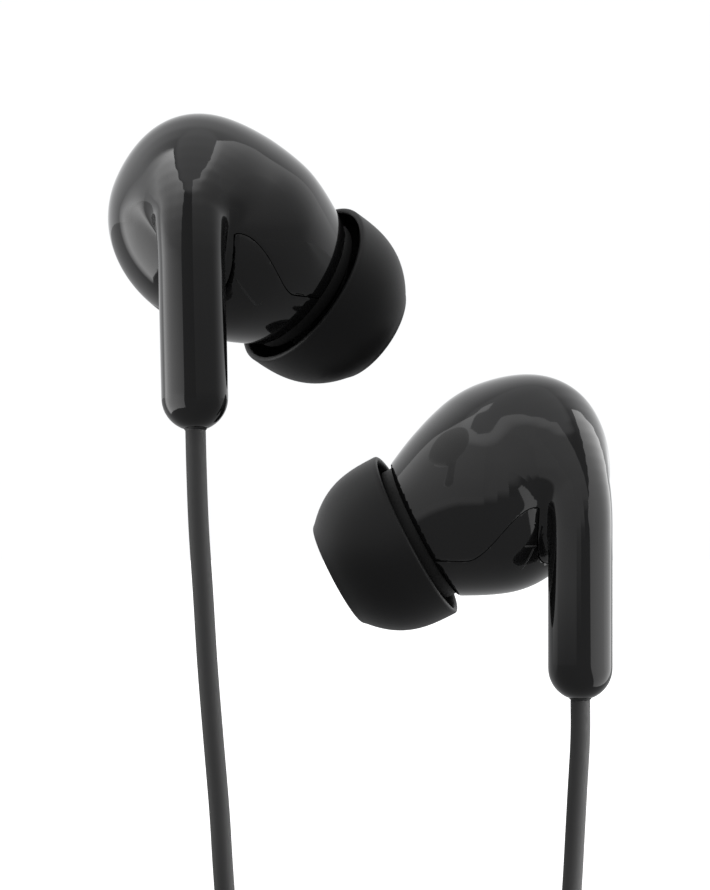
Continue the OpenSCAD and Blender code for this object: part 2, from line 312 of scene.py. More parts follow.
def sweep(path: np.ndarray, radius: float, sides: int = 24) -> Mesh:
    """Round tube along a path, closed at both ends.

    Args:
        path: Centreline points, (n, 3).
        radius: Tube radius.
        sides: Sides of the tube.

    Returns:
        Points and faces.
    """
    tangent = np.gradient(path, axis=0)
    tangent /= np.linalg.norm(tangent, axis=1)[:, None]
    normal = np.cross(tangent[0], [0.3, 1.0, 0.1])
    angle = np.linspace(0, 2 * math.pi, sides, endpoint=False)
    rings = []
    for centre, along in zip(path, tangent):
        normal = normal - along * (normal @ along)
        normal /= np.linalg.norm(normal)
        side = np.cross(along, normal)
        rings.append(centre + radius * (np.cos(angle)[:, None] * normal + np.sin(angle)[:, None] * side))
    return loft(rings)


def surface_net(distance: Callable[[np.ndarray], np.ndarray], low: Sequence[float], high: Sequence[float],
                step: float) -> Mesh:
    """Even quad mesh of the surface where a distance field is zero.

    Args:
        distance: Field, negative inside, that takes (n, 3) points.
        low: Lowest corner of the searched box.
        high: Highest corner of the searched box.
        step: Size of the quads.

    Returns:
        Points on the surface and faces.
    """
    axes = [np.arange(a, b + step, step) for a, b in zip(low, high)]
    grid = np.stack(np.meshgrid(*axes, indexing="ij"), -1)
    inside = (distance(grid.reshape(-1, 3)) < 0).reshape(grid.shape[:3])
    count = sum(inside[i:inside.shape[0] - 1 + i, j:inside.shape[1] - 1 + j, k:inside.shape[2] - 1 + k].astype(int)
                for i in (0, 1) for j in (0, 1) for k in (0, 1))
    active = (count > 0) & (count < 8)
    index = np.full(active.shape, -1)
    index[active] = np.arange(active.sum())
    points = grid[:-1, :-1, :-1][active] + step / 2
    faces = []
    for axis in range(3):
        u, v = (axis + 1) % 3, (axis + 2) % 3
        near = np.take(inside, range(inside.shape[axis] - 1), axis)
        far = np.take(inside, range(1, inside.shape[axis]), axis)
        cells = np.argwhere(near != far)
        cells = cells[(cells[:, u] > 0) & (cells[:, v] > 0)]
        out = near[tuple(cells.T)]
        corner = [cells.copy() for _ in range(4)]
        corner[1][:, u] -= 1
        corner[2][:, u] -= 1
        corner[2][:, v] -= 1
        corner[3][:, v] -= 1
        quad = np.stack([index[tuple(c.T)] for c in corner], -1)
        quad[~out] = quad[~out][:, ::-1]
        faces.append(quad)
    quads = np.concatenate(faces)
    edges = np.concatenate([quads[:, [0, 1]], quads[:, [1, 2]], quads[:, [2, 3]], quads[:, [3, 0]]])
    edges = np.concatenate([edges, edges[:, ::-1]])
    degree = np.bincount(edges[:, 0], minlength=len(points))[:, None]
    points = onto(distance, points, 4)
    for _ in range(8):
        around = np.stack([np.bincount(edges[:, 0], points[edges[:, 1], i], len(points)) for i in range(3)], -1)
        points = onto(distance, 0.4 * points + 0.6 * around / degree, 1)
    return onto(distance, points, 2), quads.tolist()


def onto(distance: Callable[[np.ndarray], np.ndarray], points: np.ndarray, rounds: int) -> np.ndarray:
    """Moves points onto the surface where a field is zero.

    Args:
        distance: The field.
        points: Points near its surface.
        rounds: Newton steps.

    Returns:
        The moved points.
    """
    for _ in range(rounds):
        slope = slope_of(distance, points)
        points = points - distance(points)[:, None] * slope / np.maximum((slope ** 2).sum(1), 0.05)[:, None]
    return points


def slope_of(distance: Callable[[np.ndarray], np.ndarray], points: np.ndarray, reach: float = 1e-3) -> np.ndarray:
    """Gradient of a field by central differences.

    Args:
        distance: The field.
        points: Where it is taken, (n, 3).
        reach: Half the distance between the two samples.

    Returns:
        The gradient at each point, (n, 3).
    """
    shifts = np.eye(3) * reach
    return np.stack([(distance(points + s) - distance(points - s)) / (2 * reach) for s in shifts], -1)


def cut_mesh(mesh: Mesh, value: Callable[[np.ndarray], np.ndarray]) -> tuple[Mesh, Mesh]:
    """Splits a mesh exactly along the line where a value is zero.

    Args:
        mesh: Points and faces.
        value: A smooth function of (n, 3) points.

    Returns:
        The part where the value is negative, then the part where it is positive.
    """
    points, faces = mesh
    work = bmesh.new()
    vertices = [work.verts.new(p) for p in points]
    for face in faces:
        work.faces.new([vertices[i] for i in face])
    sign = dict(zip(vertices, value(np.asarray(points))))
    fresh = set()
    for edge in list(work.edges):
        a, b = edge.verts
        if sign[a] * sign[b] < 0:
            share = sign[a] / (sign[a] - sign[b])
            for _ in range(3):
                p = np.array(a.co.lerp(b.co, share))[None]
                here = float(value(p)[0])
                share = float(np.clip(share + (here / (sign[a] - sign[b])), 0.02, 0.98))
            _, middle = bmesh.utils.edge_split(edge, a, share)
            sign[middle] = 0.0
            fresh.add(middle)
    for face in list(work.faces):
        corners = [v for v in face.verts if v in fresh]
        if len(corners) == 2:
            bmesh.utils.face_split(face, corners[0], corners[1])
    halves = []
    work.verts.ensure_lookup_table()
    for side in (-1, 1):
        keep = [f for f in work.faces if side * sum(sign[v] for v in f.verts) > 0]
        used = {v: i for i, v in enumerate(dict.fromkeys(v for f in keep for v in f.verts))}
        halves.append((np.array([v.co[:] for v in used]), [[used[v] for v in f.verts] for f in keep]))
    work.free()
    return halves[0], halves[1]


def thickened(mesh: Mesh, wall: float, ease: float = 0.04) -> Mesh:
    """Gives an open skin a wall on its inner side, with eased edges along its rims.

    Args:
        mesh: The outer skin.
        wall: Wall thickness.
        ease: How far the rim's own edge sinks, so that it catches no hard line.

    Returns:
        A closed mesh.
    """
    points, faces = np.asarray(mesh[0], float), mesh[1]
    normal = np.zeros_like(points)
    count: dict = {}
    for face in faces:
        p = points[face]
        n = np.cross(p[1] - p[0], p[2] - p[0]) + (np.cross(p[2] - p[0], p[3] - p[0]) if len(face) > 3 else 0)
        normal[face] += n
        for a, b in zip(face, face[1:] + face[:1]):
            count[(a, b)] = count.get((a, b), 0) + 1
    normal /= np.maximum(np.linalg.norm(normal, axis=1), 1e-9)[:, None]
    rim = [(a, b) for (a, b) in count if (b, a) not in count]
    edge = np.zeros(len(points), bool)
    edge[[a for pair in rim for a in pair]] = True
    top = points - normal * np.where(edge, ease, 0)[:, None]
    n = len(points)
    inner = points - normal * wall
    out = [list(f) for f in faces] + [[i + n for i in reversed(f)] for f in faces]
    out += [[b, a, a + n, b + n] for a, b in rim]
    return np.vstack([top, inner]), out


# ---------------------------------------------------------------- finishes


class Grain(Enum):
    """The fine texture that a finish carries."""

    LACQUER = "lacquer"
    MOULDED = "moulded"
    SILICONE = "silicone"
    METAL = "metal"
    RIBBED = "ribbed"
    FABRIC = "fabric"


@dataclass(frozen=True)
class Finish:
    """One procedural finish.

    Attributes:
        name: Material name.
        colour: Base colour, linear.
        rough: Lowest and highest roughness; a fine noise moves between them.
        grain: Kind of fine texture.
        metallic: 1 for metal.
        coat: Weight of the clear coat.
        sheen: Weight of the soft sheen.
        bump: Depth of the fine texture, in millimetres.
        scale: Size of the texture's cells, in millimetres.
        tint: How much lighter the colour gets in the noise's peaks.
        specular: Strength of the plain reflection; 0.5 is usual.
    """

    name: str
    colour: Point
    rough: tuple[float, float]
    grain: Grain
    metallic: float = 0.0
    coat: float = 0.0
    sheen: float = 0.0
    bump: float = 0.0
    scale: float = 0.2
    tint: float = 0.0
    specular: float = 0.5

    def material(self) -> bpy.types.Material:
        """Builds the material once and returns it.

        Returns:
            The material.
        """
        found = bpy.data.materials.get(self.name)
        if found:
            return found
        made = bpy.data.materials.new(self.name)
        made.use_nodes = True
        tree = made.node_tree
        texture = self._pattern(tree, tree.nodes.new("ShaderNodeTexCoord").outputs["Object"])
        ramp = added(tree, "ValToRGB", {"Fac": texture})
        light = [c * (1 + self.tint) for c in self.colour]
        for stop, at, colour in zip(ramp.color_ramp.elements, (0.3, 0.7), (self.colour, light)):
            stop.position, stop.color = at, (*colour, 1.0)
        spread = added(tree, "MapRange", {"Value": texture, "From Min": 0.25, "From Max": 0.75,
                                          "To Min": self.rough[0], "To Max": self.rough[1]})
        shader = tree.nodes["Principled BSDF"]
        feed(tree, shader, {"Metallic": self.metallic, "Specular IOR Level": self.specular, "Coat Weight": self.coat,
                            "Coat Roughness": 0.03, "Sheen Weight": self.sheen, "Sheen Roughness": 0.4,
                            "Base Color": ramp.outputs["Color"], "Roughness": spread.outputs["Result"]})
        if self.bump:
            bump = added(tree, "Bump", {"Strength": 1.0, "Distance": self.bump * MM, "Height": texture})
            tree.links.new(bump.outputs["Normal"], shader.inputs["Normal"])
        return made

    def _pattern(self, tree: bpy.types.NodeTree, where: bpy.types.NodeSocket) -> bpy.types.NodeSocket:
        """Adds the grain's texture nodes.

        Args:
            tree: The material's node tree.
            where: Socket that gives the place on the object.

        Returns:
            The socket with the texture's value, about 0 to 1.
        """
        cells = 1.0 / (self.scale * MM)
        if self.grain is Grain.RIBBED:
            return added(tree, "TexWave", {"Scale": cells / WAVE_BANDS, "Distortion": 1.5, "Vector": where},
                         bands_direction="Z").outputs["Fac"]
        if self.grain is Grain.FABRIC:
            return added(tree, "TexVoronoi", {"Scale": cells, "Vector": where}).outputs["Distance"]
        detail = 2.0
        if self.grain is Grain.METAL:
            detail = 4.0
            where = added(tree, "Mapping", {"Scale": (1.0, 1.0, 8.0), "Vector": where}).outputs["Vector"]
        return added(tree, "TexNoise", {"Scale": cells, "Detail": detail, "Vector": where}).outputs["Fac"]


GLOSS = Finish("piano_gloss", (0.0065, 0.0065, 0.0067), (0.045, 0.065), Grain.LACQUER, scale=1.6, tint=0.05)
SATIN = Finish("satin_plastic", (0.0045, 0.0045, 0.0046), (0.5, 0.62), Grain.MOULDED, bump=0.004, scale=0.06, tint=0.2,
               specular=0.3)
SILICONE = Finish("tip_silicone", (0.006, 0.006, 0.0062), (0.42, 0.5), Grain.SILICONE, bump=0.003, scale=0.09,
                  tint=0.12, specular=0.25)
MESH = Finish("grille_steel", (0.08, 0.08, 0.083), (0.35, 0.5), Grain.METAL, metallic=1.0, scale=0.1, tint=0.2)
CASE = Finish("driver_case", (0.045, 0.045, 0.047), (0.4, 0.55), Grain.MOULDED, bump=0.004, scale=0.08, tint=0.2)
STEEL = Finish("plated_steel", (0.55, 0.55, 0.56), (0.22, 0.34), Grain.METAL, metallic=1.0, scale=0.15, tint=0.1)
MAGNET = Finish("magnet_nickel", (0.36, 0.36, 0.38), (0.3, 0.42), Grain.METAL, metallic=1.0, scale=0.2, tint=0.1)
COPPER = Finish("copper_winding", (0.72, 0.3, 0.13), (0.25, 0.4), Grain.RIBBED, metallic=1.0, bump=0.01, scale=0.06,
                tint=0.15)
FILM = Finish("diaphragm_film", (0.5, 0.38, 0.18), (0.25, 0.35), Grain.MOULDED, coat=0.4, scale=0.2, tint=0.1)
BOARD = Finish("board_lacquer", (0.02, 0.13, 0.05), (0.3, 0.45), Grain.MOULDED, bump=0.006, scale=0.15, tint=0.35)
SOFT = Finish("soft_rubber", (0.012, 0.012, 0.0125), (0.5, 0.62), Grain.SILICONE, sheen=0.03, bump=0.004, scale=0.1,
              tint=0.15)
JACKET = Finish("cable_jacket", (0.02, 0.02, 0.0205), (0.3, 0.38), Grain.SILICONE, bump=0.004, scale=0.14, tint=0.18)
STRAP = Finish("strap_cloth", (0.014, 0.014, 0.015), (0.75, 0.9), Grain.FABRIC, sheen=0.25, bump=0.05, scale=0.28,
               tint=0.6)
GOLD = Finish("contact_gold", (0.86, 0.62, 0.25), (0.14, 0.24), Grain.METAL, metallic=1.0, scale=0.12, tint=0.06)
MARK = Finish("mark_lacquer", (0.02, 0.02, 0.0205), (0.25, 0.35), Grain.MOULDED, scale=0.08, tint=0.1)
RING = Finish("insulator_ring", (0.006, 0.006, 0.006), (0.35, 0.45), Grain.MOULDED, scale=0.08, tint=0.1)


# ---------------------------------------------------------------- the buds


def turned(degrees: float, axis: int) -> np.ndarray:
    """Rotation matrix about one axis.

    Args:
        degrees: The angle.
        axis: 0, 1 or 2 for X, Y or Z.

    Returns:
        The matrix, (3, 3).
    """
    c, s = math.cos(math.radians(degrees)), math.sin(math.radians(degrees))
    return np.array([[[1, 0, 0], [0, c, -s], [0, s, c]], [[c, 0, s], [0, 1, 0], [-s, 0, c]],
                     [[c, -s, 0], [s, c, 0], [0, 0, 1]]][axis])


@dataclass(frozen=True)
class Place:
    """Where a bud stands.

    Attributes:
        at: The stem's lower end.
        turn: Degrees about Z, then X, then Y.
        mirrored: True for the right bud, whose +X is turned over.
    """

    at: Point
    turn: Point
    mirrored: bool = False

    def world(self, points: np.ndarray) -> np.ndarray:
        """Takes points from the bud's own frame to the row frame.

        Args:
            points: The points, (n, 3).

        Returns:
            The moved points.
        """
        spun = np.asarray(points) @ (turned(self.turn[2], 1) @ turned(self.turn[1], 0) @ turned(self.turn[0], 2)).T
        if self.mirrored:
            spun = spun * [-1, 1, 1]
        return spun + self.at


@dataclass
class BudForm:
    """The bud's smooth outer form, in its own frame: stem along +Z, ear tip towards +X."""

    stem_r: float = 2.28
    lobe: Point = (6.15, 5.4, 14.4)
    lobe_r: float = 6.58
    crown: Point = (4.5, 6.5, 16.05)
    crown_r: float = 6.84
    shoulder: Point = (2.7, 4.55, 18.85)
    shoulder_r: float = 3.45
    collar: Point = (10.9, 5.65, 11.95)
    collar_r: float = 5.15
    dip: float = 27.4
    toe: float = 7.0
    blend: float = 2.4
    groove: float = 0.45
    groove_z: float = 13.0
    groove_rise: float = 3.6
    bend: tuple[Point, Point] = ((0.0, 0.0, 11.5), (0.0, 0.0, 16.6))

    @property
    def axis(self) -> np.ndarray:
        """Unit vector along the nozzle, out of the ear tip."""
        e, a = math.radians(self.dip), math.radians(self.toe)
        return np.array([math.cos(e) * math.cos(a), math.cos(e) * math.sin(a), -math.sin(e)])

    def on_nozzle(self, points: np.ndarray) -> np.ndarray:
        """Takes points from the nozzle's frame, +Z out of the tip, to the bud's frame."""
        return np.asarray(points) @ (turned(self.toe, 2) @ turned(90 + self.dip, 1)).T + self.collar

    def along_nozzle(self, points: np.ndarray) -> np.ndarray:
        """How far points lie in front of the end of the glossy body."""
        return (points - np.array(self.collar)) @ self.axis

    def distance(self, p: np.ndarray) -> np.ndarray:
        """Signed distance to the blended form.

        Args:
            p: Points in the bud's frame, (n, 3).

        Returns:
            Distance of each point, negative inside.
        """
        back = 1.5
        neck = np.array(self.collar) - back * self.axis
        body = cone(p, self.lobe, neck, self.lobe_r, math.hypot(self.collar_r, back))
        body = blended(body, cone(p, self.lobe, self.crown, self.lobe_r, self.crown_r), 2.0)
        bend = np.array([*self.bend, self.shoulder])
        t = np.linspace(0, 1, 13)[:, None]
        spine = (1 - t) ** 2 * bend[0] + 2 * t * (1 - t) * bend[1] + t * t * bend[2]
        girth = self.stem_r + (self.shoulder_r - self.stem_r) * t[:, 0] ** 1.6
        stem = cone(p, (0.0, 0.0, self.stem_r), spine[0], self.stem_r, self.stem_r)
        for a, b, r1, r2 in zip(spine[:-1], spine[1:], girth[:-1], girth[1:]):
            stem = np.minimum(stem, cone(p, a, b, r1, r2))
        rise = np.clip((p[:, 2] - self.groove_z) / self.groove_rise, 0, 1)
        return blended(body, stem, self.groove + (self.blend - self.groove) * rise * rise * (3 - 2 * rise))


def blended(a: np.ndarray, b: np.ndarray, reach: float | np.ndarray) -> np.ndarray:
    """Joins two fields with a smooth fillet.

    Args:
        a: First field.
        b: Second field.
        reach: Size of the fillet.

    Returns:
        The joined field.
    """
    h = np.maximum(reach - np.abs(a - b), 0) / reach
    return np.minimum(a, b) - h * h * reach / 4


def cone(p: np.ndarray, start: Sequence[float], end: Sequence[float], r1: float, r2: float) -> np.ndarray:
    """Signed distance to the hull of two spheres.

    Args:
        p: Points, (n, 3).
        start: First centre.
        end: Second centre.
        r1: First radius.
        r2: Second radius.

    Returns:
        Distance of each point, negative inside.
    """
    a, ba = np.array(start, float), np.array(end, float) - np.array(start, float)
    l2, rr = ba @ ba, r1 - r2
    a2, pa = l2 - rr * rr, p - a
    y = pa @ ba
    z = y - l2
    x2 = ((pa * l2 - y[:, None] * ba) ** 2).sum(1)
    k = math.copysign(1, rr) * rr * rr * x2
    side = (np.sqrt(np.maximum(x2 * a2 / l2, 0)) + y * rr) / l2 - r1
    side = np.where(np.sign(y) * a2 * y * y * l2 < k, np.sqrt(x2 + y * y * l2) / l2 - r1, side)
    return np.where(np.sign(z) * a2 * z * z * l2 > k, np.sqrt(x2 + z * z * l2) / l2 - r2, side)


@dataclass
class Bud:
    """One earbud, built once in its own frame and set in its place."""

    side: str
    place: Place
    form: BudForm = field(default_factory=BudForm)
    quad: float = 0.28
    wall: float = 0.8
    hole_r: float = 0.76
    seam_gap: float = 0.035
    tip_r: float = 6.3
    tip_l: float = 6.45
    rim_gap: float = 0.7
    sleeve_r: float = 2.99
    strokes: tuple = ()

    def build(self) -> None:
        """Builds and dresses every piece of the bud."""
        self.shells()
        self.nozzle()
        self.ear_tip()
        self.mark()
        self.grommet()
        self.insides()

    def seam(self, p: np.ndarray) -> np.ndarray:
        """Height over the parting line: level at the collar, up to the fork with the stem, then down behind it.

        Args:
            p: Points in the bud's frame, (n, 3).

        Returns:
            The height of each point, negative on the belly cover's side.
        """
        low, high, start, peak = 9.75, 13.6, 8.1, 3.1
        climb = np.clip((start - p[:, 0]) / (start - peak), 0, 1)
        drop = np.clip((peak - p[:, 0]) / peak, 0, 1)
        line = low + (high - low) * climb * climb * (3 - 2 * climb) - 6 * drop * drop * (3 - 2 * drop)
        stem = 3.0 - np.hypot(p[:, 0], p[:, 1])
        return np.maximum(p[:, 2] - line, stem)

    def shells(self) -> None:
        """Makes the stem shell and the belly cover, hollow, with a fine gap between them."""
        form = self.form
        skin = surface_net(form.distance, (-3.5, -3.5, -0.9), (16.0, 14.8, 25.0), self.quad)
        skin, _ = cut_mesh(skin, form.along_nozzle)
        _, skin = cut_mesh(skin, lambda p: np.where(p[:, 2] < 2, np.hypot(p[:, 0], p[:, 1]) - self.hole_r, 9.0))
        for name, level, half in (("shell", self.seam_gap, 1), ("belly_cover", -self.seam_gap, 0)):
            part = cut_mesh(skin, lambda p, level=level: self.seam(p) - level)[half]
            points, faces = thickened(part, self.wall)
            mesh = (self.place.world(points), faces)
            add_piece(f"{self.side}_{name}_gloss", mesh, "earphones", GLOSS, [f"{self.side}_{name}"],
                      50)

    def set_on_nozzle(self, mesh: Mesh) -> Mesh:
        """Takes a mesh from the nozzle's frame to the row frame."""
        return self.place.world(self.form.on_nozzle(mesh[0])), mesh[1]

    def nozzle(self) -> None:
        """Makes the matte collar with its tube and barb, and the sound grille."""
        rim = self.form.collar_r - 0.12
        outline = rounded([
            (2.1, -0.85, 0), (3.15, -0.85, 0.05), (3.15, 0.02, 0.05), (rim, 0.02, 0.04), (rim, 0.95, 0.18),
            (3.3, 1.1, 0.1), (2.7, 1.5, 0.2), (2.7, 5.3, 0.1), (2.95, 5.5, 0.08), (2.95, 6.1, 0.15),
            (2.55, 6.5, 0.1), (2.1, 6.5, 0)])
        mesh = self.set_on_nozzle(lathe(outline, 128))
        add_piece(f"{self.side}_nozzle_satin", mesh, "earphones", SATIN, [f"{self.side}_nozzle"])
        add_piece(f"{self.side}_grille_mesh", self.set_on_nozzle(self.grille()), "earphones", MESH,
                  [f"{self.side}_nozzle_grille"])

    def grille(self) -> Mesh:
        """Woven wire disc inside a rolled ring, in the nozzle's frame.

        Returns:
            Points and faces.
        """
        wire, reach, height, gap = 0.045, 1.95, 6.05, 0.26
        parts = [lathe(rounded([(1.85, 5.92, 0), (2.08, 5.92, 0.05), (2.08, 6.2, 0.08), (1.85, 6.2, 0.08)]), 64)]
        for k in range(-7, 8):
            offset = k * gap
            half = math.sqrt(max(reach ** 2 - offset ** 2, 0.01))
            t = np.linspace(-half, half, 40)
            wave = 0.05 * np.cos(math.pi * t / gap) * (1 if k % 2 else -1)
            parts.append(sweep(np.stack([t, np.full_like(t, offset), height + wave], -1), wire, 8))
            parts.append(sweep(np.stack([np.full_like(t, offset), t, height - wave], -1), wire, 8))
        return joined(*parts)

    def ear_tip(self) -> None:
        """Makes the silicone tip: a sleeve over the barb and a thin dome folded back with a rolled rim."""
        lip, front, steps = 0.42, 4.15, 26
        depth = self.tip_l - 0.55
        dome = [(self.tip_r - (self.tip_r - front) * (i / steps) ** 3, self.rim_gap + 0.2 + depth * i / steps)
                for i in range(steps + 1)]
        under = [(r - lip - 0.1 * i / steps, z) for i, (r, z) in enumerate(dome[:-5])]
        mouth = self.rim_gap + self.tip_l
        nose = rounded([(*dome[-1], 0), (3.85, mouth - 0.02, 0.35), (2.5, mouth, 0.1), (2.15, mouth - 0.28, 0.15),
                        (2.2, 6.75, 0)], 8)
        hollow = rounded([(2.2, 6.75, 0), (self.sleeve_r, 6.58, 0.05), (self.sleeve_r, 1.6, 0.12), (3.75, 1.6, 0.2),
                          (3.75, 5.3, 0.5), (*under[-1], 0)], 6)
        rim = [(self.tip_r - 0.5 * lip + 0.5 * lip * math.cos(a), self.rim_gap + 0.2 - 0.2 * math.sin(a))
               for a in np.linspace(math.pi, 0, 9)[1:-1]]
        outline = [*dome, *nose[1:-1], *hollow, *under[-2::-1], *rim]
        mesh = self.set_on_nozzle(lathe(outline, 192))
        add_piece(f"{self.side}_ear_tip_silicone", mesh, f"{self.side}_tip", SILICONE,
                  [f"{self.side}_ear_tip"], 60)

    def mark(self) -> None:
        """Makes the fine moulded stroke on the belly cover."""
        strokes = []
        for stroke in self.strokes:
            points = curve_through(stroke, 0.12)
            points = onto(self.form.distance, points, 3)
            points -= 0.085 * slope_of(self.form.distance, points)
            strokes.append(sweep(points, 0.11, 10))
        points, faces = joined(*strokes)
        add_piece(f"{self.side}_side_mark", (self.place.world(points), faces), "earphones", MARK)

    def grommet(self) -> None:
        """Makes the soft ring in the stem's end."""
        outline = rounded([(0.715, 0.06, 0), (0.745, 0.06, 0.02), (1.12, 0.75, 0.1), (1.12, 3.02, 0), (1.3, 3.02, 0),
                           (1.3, 3.62, 0.1), (0.715, 3.62, 0)])
        mesh = lathe(outline, 64)
        add_piece(f"{self.side}_grommet_soft", (self.place.world(mesh[0]), mesh[1]), "earphones", SOFT,
                  [f"{self.side}_cord_grommet"])

    def insides(self) -> None:
        """Dresses the pieces that the bud holds inside."""
        finishes = {"driver_frame": CASE, "driver_yoke": STEEL, "driver_magnet": MAGNET, "voice_coil": COPPER,
                    "diaphragm": FILM, "terminal_board": BOARD, "cord_anchor": SOFT, "inner_wires": COPPER}
        for name, finish in finishes.items():
            dress(f"{self.side}_{name}", finish)


def dress(node: str, finish: Finish) -> None:
    """Gives a CAD node that stays in view its finish.

    Args:
        node: Name of the node.
        finish: The finish.
    """
    data = frame["nodes"][node].data
    data.materials.clear()
    data.materials.append(finish.material())
    LOG.info("%s keeps its own shape, in %s", node, finish.name)


# ---------------------------------------------------------------- the cable


@dataclass
class Hank:
    """The folded cable: straight runs joined by half turns, in columns and layers."""

    centre: Point = (2.0, -10.0, -72.3)
    cord_d: float = 1.4
    run_l: float = 28.0
    pitch: float = 1.45
    swell: float = 3.9

    def column(self, k: int) -> float:
        """Half the distance between the two runs of column k, 0 being the innermost."""
        return 3 * self.cord_d + k * self.pitch

    def layer(self, k: int) -> float:
        """Depth of layer k, from -2 at the front to 2 at the back."""
        return self.centre[1] + k * self.pitch

    def wind(self, runs: Sequence[tuple[float, float]], downward: bool = True, skip_first: bool = False) -> list:
        """Points along runs and the turns between them.

        Args:
            runs: (offset in X, depth in Y) of each run, in order.
            downward: Whether the first run goes down.
            skip_first: Whether the first run is left out, because another route draws it.

        Returns:
            The points.
        """
        out = []
        half, (cx, _, cz) = self.run_l / 2, self.centre
        for i, (x, y) in enumerate(runs):
            way = -1 if downward == (i % 2 == 0) else 1
            if i or not skip_first:
                out += [(cx + x, y, cz + way * half * t) for t in (-0.85, -0.3, 0.3, 0.85)]
            if i + 1 < len(runs):
                x2, y2 = runs[i + 1]
                middle, radius = cx + (x + x2) / 2, (x - x2) / 2
                for a in np.linspace(0, math.pi, 11):
                    share = (1 - math.cos(a)) / 2
                    out.append((middle + radius * math.cos(a), y + (y2 - y) * share,
                                cz + way * (half + abs(radius) * math.sin(a))))
        return out


@dataclass
class Cables:
    """The leads from the two buds, the remote's stretch and the main lead to the plug."""

    hank: Hank = field(default_factory=Hank)
    lines: dict = field(default_factory=dict)
    radius: float = 0.7
    left_fall: tuple = ((-11.83, -14.9, -7.1), (-11.76, -15.23, -9.56), (-11.6, -15.5, -13.6), (-11.3, -15.6, -18.1),
                        (-11, -15.6, -23), (-10.6, -15.5, -28), (-10.2, -15.2, -32.9), (-9.9, -14.8, -37.8),
                        (-9.4, -13.6, -43.6), (-8, -11.4, -49.5), (-6.2, -8.9, -54.5), (-5.2, -7.4, -58.5))
    right_fall: tuple = ((14.88, -0.92, -26.07), (14.88, -0.92, -28.7), (14.68, -1, -32.2), (14.48, -1.2, -35.7),
                         (14.25, -1.9, -39.2), (13.85, -3.4, -43), (12.9, -6, -47), (11.2, -9.3, -51.5),
                         (9.6, -11.8, -55.5), (9.1, -12.8, -58.5))
    left_entry: tuple = ((6.2, -7.1, -62.5), (5.9, -7.5, -60.5), (5.1, -8.4, -59.3), (4.1, -9.3, -59.6),
                         (3.3, -9.9, -61.6), (3.1, -10, -63.8), (3.1, -10, -65.78))
    right_entry: tuple = ((-2.2, -12.9, -62.5), (-1.9, -12.5, -60.5), (-1.1, -11.6, -59.3), (-0.1, -10.7, -59.6),
                          (0.7, -10.1, -61.6), (0.9, -10, -63.8), (0.9, -10, -65.78))
    main_start: tuple = ((2, -10, -78.82), (2, -10, -79.8), (2.3, -10.3, -81.6), (3.6, -10.9, -83.8),
                         (5.4, -11.4, -85.6))
    main_end: tuple = ((9.1, -8.6, -86.5), (8.7, -8.7, -90), (7, -9.1, -94), (4, -9.7, -97.8), (2.3, -10, -100.5),
                       (2, -10, -102.5))

    def paths(self) -> dict[str, np.ndarray]:
        """Works out the centreline of each cord.

        Returns:
            The points of each centreline, by the cord's name.
        """
        hank = self.hank
        a, b, c = hank.column(0), hank.column(1), hank.column(2)
        front, back = hank.layer(-2), hank.layer(2)
        out, near = hank.layer(-2) - hank.swell, [(b, front - hank.swell)]
        top, low = hank.centre[2] + 13.5, hank.centre[2] - 13.5
        left = [(-c, back), (c, back), (-b, back), (b, back), (-a, back), (a, back)]
        left_points = [*self.left_fall, *hank.wind(left)[1:-1], *self.left_entry]
        upper = [*self.right_fall, *hank.wind([(c, front), (-c, front), *near])[1:-4],
                 (hank.centre[0] + b, out, top + 0.3), (hank.centre[0] + b, out, top)]
        lower = [(hank.centre[0] + b, out, low), (hank.centre[0] + b, out, low - 0.3),
                 *hank.wind([*near, (-b, front), (a, front), (-a, front)], skip_first=True)[1:-1], *self.right_entry]
        first, middle, last = hank.layer(-1), hank.layer(0), hank.layer(1)
        main = [(a, first), (-a, first), (b, first), (-b, first), (c, first), (-c, first),
                (c, middle), (-c, middle), (b, middle), (-b, middle), (a, middle), (-a, middle),
                (a, last), (-a, last), (b, last), (-b, last), (c, last)]
        main_points = [*self.main_start, *hank.wind(main, skip_first=True)[1:-1], *self.main_end]
        routes = {"left_lead": left_points, "right_lead_upper": upper, "right_lead_lower": lower,
                  "main_lead": main_points}
        return {name: curve_through(points) for name, points in routes.items()}

    def build(self) -> dict[str, bpy.types.Object]:
        """Builds the four cords.

        Returns:
            The cord pieces by name.
        """
        stands_for = {"left_lead": ["left_lead"], "right_lead_upper": ["right_lead"], "right_lead_lower": [],
                      "main_lead": ["main_lead", "cord_hank"]}
        self.lines = self.paths()
        pieces = {}
        for name, line in self.lines.items():
            mesh = sweep(line, self.radius)
            piece = add_piece(f"{name}_jacket", mesh, "earphones", JACKET, stands_for[name], 80)
            pieces[name] = piece
        return pieces


def stadium(width: float, depth: float, sides: int = 64) -> np.ndarray:
    """Ring of points round a flat-sided oval in X and Y, evenly spread.

    Args:
        width: Size in X.
        depth: Size in Y.
        sides: Number of points.

    Returns:
        The points, (sides, 2).
    """
    r, flat = depth / 2, (width - depth) / 2
    total = 4 * flat + 2 * math.pi * r
    points = []
    for k in range(sides):
        d = (k + 0.5) * total / sides
        if d < 2 * flat:
            points.append((flat - d, r))
        elif d < 2 * flat + math.pi * r:
            a = math.pi / 2 + (d - 2 * flat) / r
            points.append((-flat + r * math.cos(a), r * math.sin(a)))
        elif d < 4 * flat + math.pi * r:
            points.append((-flat + d - 2 * flat - math.pi * r, -r))
        else:
            a = -math.pi / 2 + (d - 4 * flat - math.pi * r) / r
            points.append((flat + r * math.cos(a), r * math.sin(a)))
    return np.array(points)


